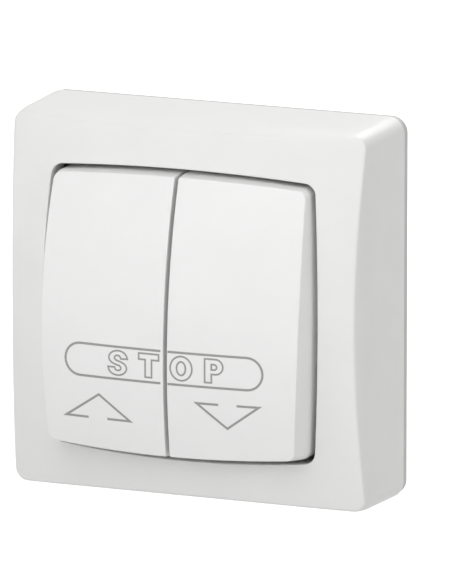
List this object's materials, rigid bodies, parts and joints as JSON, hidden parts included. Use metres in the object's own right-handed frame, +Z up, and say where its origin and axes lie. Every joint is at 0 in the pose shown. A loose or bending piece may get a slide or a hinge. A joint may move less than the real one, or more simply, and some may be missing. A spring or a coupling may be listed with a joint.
{
  "type": "roller shutter switch",
  "caption": "Surface-mounted roller shutter switch: square domed housing with two spring-return rocking keys, one for up and one for down.",
  "frame": {"origin": "middle of the wall plate's back face, which lies against the wall", "axes": "+Y into the wall, so the front faces -Y; +X to the right seen from the front; +Z up"},
  "size_m": [0.076, 0.032, 0.076],
  "materials": {
    "white_plastic": "satin moulded",
    "grey_plastic": "moulded",
    "natural_plastic": "moulded",
    "brass": "stamped",
    "silver": "rivet head",
    "spring_steel": "drawn wire",
    "plated_steel": "zinc plated"
  },
  "bodies": {
    "base": {"housing": "white_plastic", "wall_plate": "white_plastic", "mechanism_base": "grey_plastic", "mechanism_cover": "grey_plastic", "left_return_spring": "spring_steel", "right_return_spring": "spring_steel", "common_strip": "brass", "up_strip": "brass", "down_strip": "brass", "up_fixed_tip": "silver", "down_fixed_tip": "silver", "up_clamp": "plated_steel", "common_clamp": "plated_steel", "down_clamp": "plated_steel", "up_terminal_screw": "plated_steel", "common_terminal_screw": "plated_steel", "down_terminal_screw": "plated_steel", "mechanism_screws": "plated_steel"},
    "left_key_body": {"left_key": "white_plastic", "left_rocker": "natural_plastic", "left_plunger": "natural_plastic", "left_plunger_spring": "spring_steel"},
    "right_key_body": {"right_key": "white_plastic", "right_rocker": "natural_plastic", "right_plunger": "natural_plastic", "right_plunger_spring": "spring_steel"},
    "left_contact_body": {"left_contact": "brass", "left_contact_tip": "silver"},
    "right_contact_body": {"right_contact": "brass", "right_contact_tip": "silver"}
  },
  "joints": [
    {"name": "left_key_rock", "type": "hinge", "parent": "base", "child": "left_key_body", "pos_m": [-0.01354, -0.02, 0], "axis": [1, 0, 0], "range_deg": [0, 9], "stiffness_Nm_per_rad": 0.2, "springref_deg": -17.19, "deforming": ["left_return_spring"]},
    {"name": "left_contact_rock", "type": "hinge", "parent": "base", "child": "left_contact_body", "pos_m": [-0.01354, -0.0093, 0], "axis": [1, 0, 0], "range_deg": [-13.5, 0]},
    {"name": "right_key_rock", "type": "hinge", "parent": "base", "child": "right_key_body", "pos_m": [0.01354, -0.02, 0], "axis": [1, 0, 0], "range_deg": [0, 9], "stiffness_Nm_per_rad": 0.2, "springref_deg": -17.19, "deforming": ["right_return_spring"]},
    {"name": "right_contact_rock", "type": "hinge", "parent": "base", "child": "right_contact_body", "pos_m": [0.01354, -0.0093, 0], "axis": [1, 0, 0], "range_deg": [-13.5, 0]}
  ],
  "couplings": [
    {"joint": "left_contact_rock", "follows": "left_key_rock", "ratio": -1.5},
    {"joint": "right_contact_rock", "follows": "right_key_rock", "ratio": -1.5}
  ]
}
